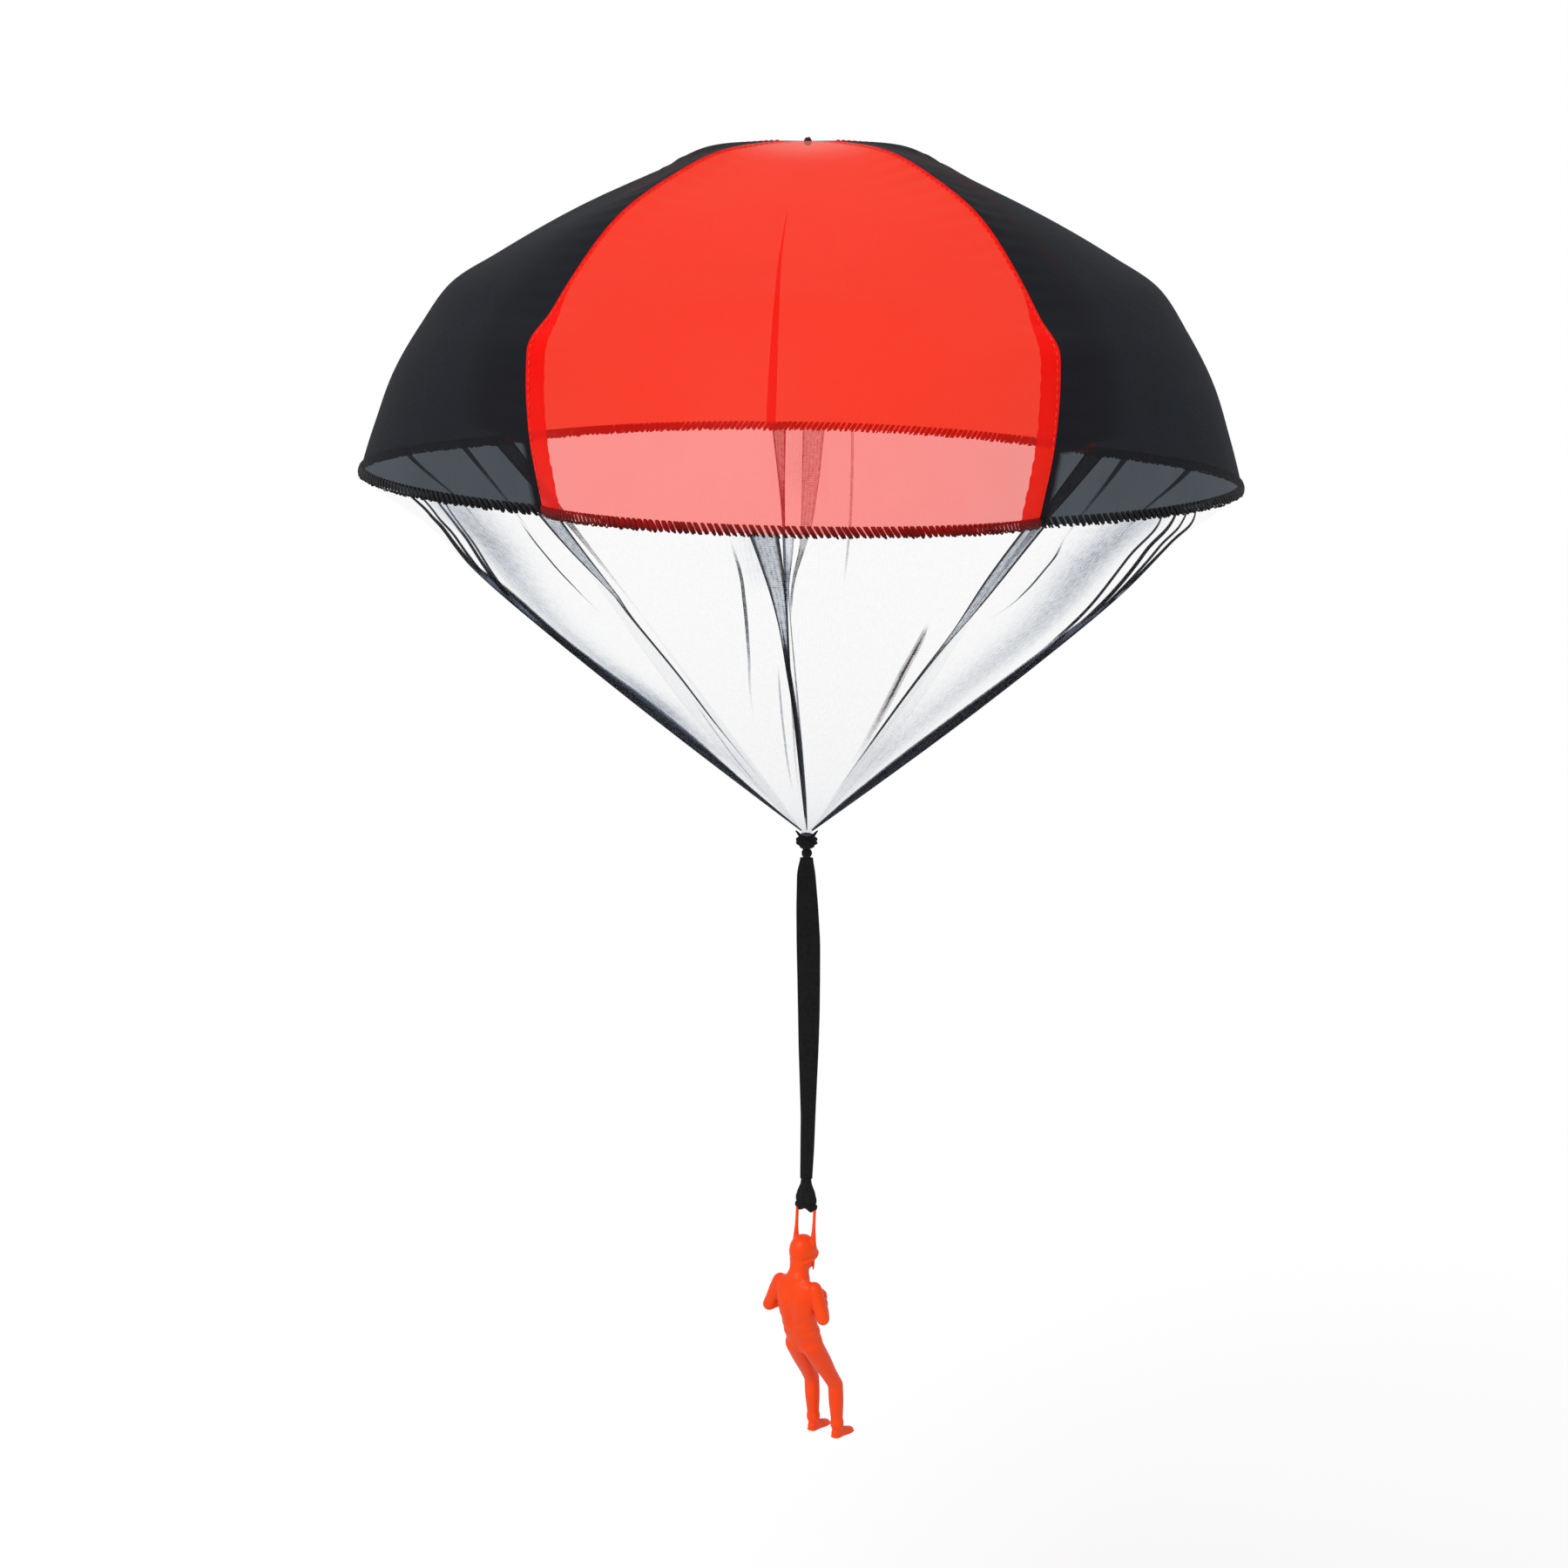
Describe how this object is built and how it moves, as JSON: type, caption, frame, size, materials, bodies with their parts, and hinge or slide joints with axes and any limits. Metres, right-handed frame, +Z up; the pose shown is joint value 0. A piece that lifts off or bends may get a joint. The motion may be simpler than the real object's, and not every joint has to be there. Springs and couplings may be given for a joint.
{
  "type": "toy parachute",
  "caption": "Toy parachute: inflated red and black cloth canopy with a net skirt gathered in a knot, and a strap that carries a hanging moulded figure.",
  "frame": {"origin": "top of the thread tack at the crown of the canopy, from which the toy hangs", "axes": "+Z up, -Y towards the viewer of the front red gore, +X to that viewer's right"},
  "size_m": [0.4198, 0.42, 0.6596],
  "materials": {
    "red_fabric": "thin plain weave",
    "black_fabric": "thin plain weave",
    "black_tulle": "open net",
    "thread": "overlock stitches",
    "strap_fabric": "folded cloth band",
    "orange_plastic": "satin moulding"
  },
  "bodies": {
    "canopy": {"gore_front": "red_fabric", "gore_back": "red_fabric", "gore_left": "black_fabric", "gore_right": "black_fabric", "seam_front_left": "red_fabric", "seam_front_right": "red_fabric", "seam_back_left": "red_fabric", "seam_back_right": "red_fabric", "crown_tack": "thread", "hem_front": "thread", "hem_back": "thread", "hem_left": "thread", "hem_right": "thread", "net_front": "black_tulle", "net_back": "black_tulle", "net_left": "black_tulle", "net_right": "black_tulle", "net_seam_front_left": "black_tulle", "net_seam_front_right": "black_tulle", "net_seam_back_left": "black_tulle", "net_seam_back_right": "black_tulle", "gather_knot": "strap_fabric"},
    "strap_neck": {"strap_neck": "strap_fabric"},
    "strap": {"strap": "strap_fabric"},
    "strap_end": {"strap_hitch": "strap_fabric"},
    "figure": {"figure": "orange_plastic"}
  },
  "joints": [
    {"name": "knot_sway", "type": "hinge", "parent": "canopy", "child": "strap_neck", "pos_m": [0, 0, -0.3459], "axis": [0, 1, 0], "range_deg": [-60, 60]},
    {"name": "strap_swing", "type": "hinge", "parent": "strap_neck", "child": "strap", "pos_m": [0, 0, -0.3459], "axis": [1, 0, 0], "range_deg": [-60, 60]},
    {"name": "strap_twist", "type": "hinge", "parent": "strap", "child": "strap_end", "pos_m": [0, 0, -0.5145], "axis": [0, 0, 1], "range_deg": [-180, 180]},
    {"name": "figure_swing", "type": "hinge", "parent": "strap_end", "child": "figure", "pos_m": [0, 0, -0.5293], "axis": [0.7986, -0.6018, 0], "range_deg": [-85, 85]}
  ]
}
